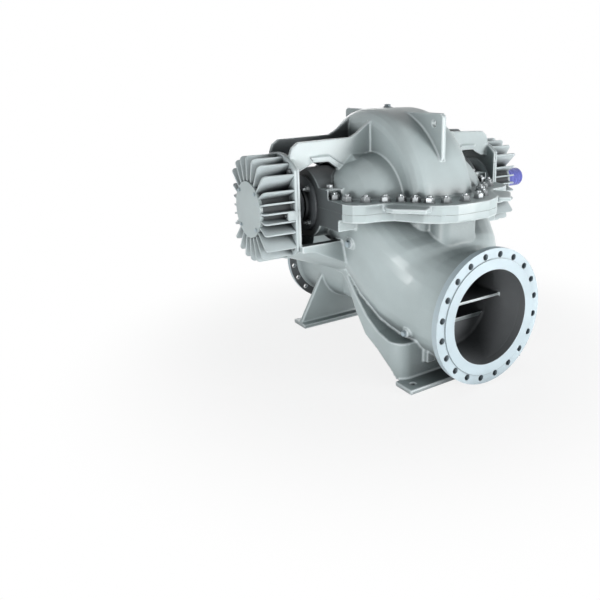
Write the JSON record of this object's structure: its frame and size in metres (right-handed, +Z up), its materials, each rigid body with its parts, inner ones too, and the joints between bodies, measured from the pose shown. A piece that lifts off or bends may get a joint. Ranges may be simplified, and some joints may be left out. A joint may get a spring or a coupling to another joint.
{
  "type": "split case pump",
  "caption": "Axially split double suction pump with side suction and discharge flanges, finned bearing housings and a free shaft end.",
  "frame": {"origin": "middle of the four foundation bolts, on the floor", "axes": "+X along the shaft to the drive end, +Y from the suction side to the discharge side, +Z up"},
  "size_m": [2.005, 1.59, 1.395],
  "materials": {
    "painted_casting": "satin",
    "bolt_steel": "satin",
    "shaft_steel": "satin",
    "gasket_sheet": "matt",
    "impeller_bronze": "satin",
    "bearing_steel": "satin"
  },
  "bodies": {
    "pump": {"lower_casing": "painted_casting", "upper_casing": "painted_casting", "casing_gasket": "gasket_sheet", "parting_bolts": "bolt_steel", "boss_bolts": "bolt_steel", "top_plug": "bolt_steel", "side_plug": "bolt_steel", "drain_plug": "bolt_steel", "nde_bearing_housing": "painted_casting", "nde_bearing_cover": "painted_casting", "nde_bearing": "bearing_steel", "nde_seal_cover": "shaft_steel", "nde_housing_bolts": "bolt_steel", "nde_ear_bolts": "bolt_steel", "nde_cover_screws": "bolt_steel", "nde_gland_nuts": "bolt_steel", "de_bearing_housing": "painted_casting", "de_bearing_cover": "painted_casting", "de_bearing": "bearing_steel", "de_seal_cover": "shaft_steel", "de_housing_bolts": "bolt_steel", "de_ear_bolts": "bolt_steel", "de_cover_screws": "bolt_steel", "de_gland_nuts": "bolt_steel"},
    "rotor": {"shaft": "shaft_steel", "shaft_key": "shaft_steel", "impeller": "impeller_bronze", "shaft_sleeves": "shaft_steel", "deflectors": "shaft_steel"}
  },
  "joints": [
    {"name": "shaft_spin", "type": "hinge", "parent": "pump", "child": "rotor", "pos_m": [0, 0.135, 0.885], "axis": [1, 0, 0], "continuous": true}
  ]
}
